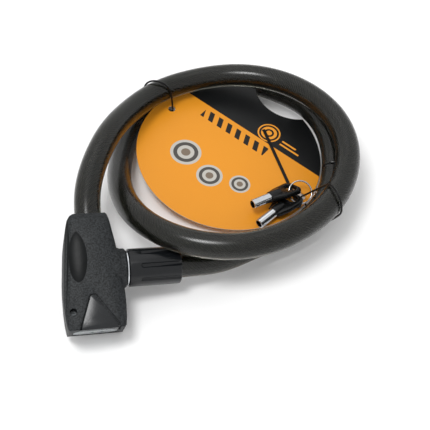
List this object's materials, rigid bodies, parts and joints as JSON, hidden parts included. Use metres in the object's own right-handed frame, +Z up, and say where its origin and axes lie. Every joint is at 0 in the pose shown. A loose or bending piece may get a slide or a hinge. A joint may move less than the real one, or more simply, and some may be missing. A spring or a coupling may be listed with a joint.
{
  "type": "cable lock",
  "caption": "Coiled bicycle cable lock with a moulded housing, key cylinder, draw bolt in a fluted sleeve, tinted cable, display card and keys.",
  "frame": {"origin": "centre of the bounding box at the plane that the lock lies on", "axes": "+Z up from that plane, the shortest extent; +Y from the key end of the housing towards the far side of the coil"},
  "size_m": [0.2559, 0.3317, 0.075],
  "materials": {
    "cover": "fine moulded grain, charcoal",
    "shield": "smooth satin, charcoal",
    "collar": "zinc plated",
    "sleeve": "smooth, near black",
    "case": "die cast, bare",
    "steel": "zinc plated",
    "brass": "machined",
    "chrome": "bright plated",
    "seal": "black rubber",
    "jacket": "clear smoke-tinted vinyl",
    "strand": "twisted steel strands",
    "card": "coated board, orange and black",
    "tie": "black plastic",
    "key_head": "black plastic"
  },
  "bodies": {
    "lock": {"front_cover": "cover", "rear_cover": "cover", "shield_panel": "shield", "cover_screws": "steel", "face_plate": "chrome", "socket_collar": "collar", "lock_case": "case", "cylinder_barrel": "brass", "latch_spring": "steel", "cable_crimp": "steel", "crimp_pin": "steel", "o_ring": "seal", "cable_jacket": "jacket", "cable_core": "strand", "tail_jacket": "jacket", "tail_core": "strand", "display_card": "card", "tie_left": "tie", "tie_right": "tie", "key_strap": "tie"},
    "plug": {"cylinder_plug": "chrome", "pin_tumblers": "brass", "drive_cam": "steel"},
    "latch_bar": {"latch": "steel"},
    "bolt": {"bolt_pin": "chrome", "bolt_sleeve": "sleeve", "bolt_crimp": "steel"},
    "ring": {"split_ring": "chrome"},
    "key_a": {"key_head_a": "key_head", "key_barrel_a": "chrome"},
    "key_b": {"key_head_b": "key_head", "key_barrel_b": "chrome"}
  },
  "joints": [
    {"name": "key_turn", "type": "hinge", "parent": "lock", "child": "plug", "pos_m": [-0.0954, -0.1563, 0.0172], "axis": [0.1295, -0.9214, -0.3665], "range_deg": [0, 90]},
    {"name": "latch_drop", "type": "slide", "parent": "lock", "child": "latch_bar", "axis": [-0.2222, 0.3333, -0.9163], "range_m": [0, 0.0025], "deforming": ["latch_spring"]},
    {"name": "bolt_slide", "type": "slide", "parent": "lock", "child": "bolt", "axis": [0.9664, 0.2001, -0.1616], "range_m": [0, 0.036], "deforming": ["tail_jacket", "tail_core"]},
    {"name": "ring_lift", "type": "hinge", "parent": "lock", "child": "ring", "pos_m": [0.07531, -0.01296, 0.00633], "axis": [-0.5153, 0.8431, 0.1537], "range_deg": [0, 8]},
    {"name": "key_a_lift", "type": "hinge", "parent": "ring", "child": "key_a", "pos_m": [0.06581, -0.00179, 0.01454], "axis": [-0.5153, 0.8431, 0.1537], "range_deg": [0, 12]},
    {"name": "key_b_swing", "type": "hinge", "parent": "ring", "child": "key_b", "pos_m": [0.06653, -0.00857, 0.01016], "axis": [0.1177, -0.108, 0.9872], "range_deg": [0, 4]}
  ],
  "couplings": [
    {"joint": "latch_drop", "follows": "key_turn", "m_per_rad": 0.0015915}
  ]
}
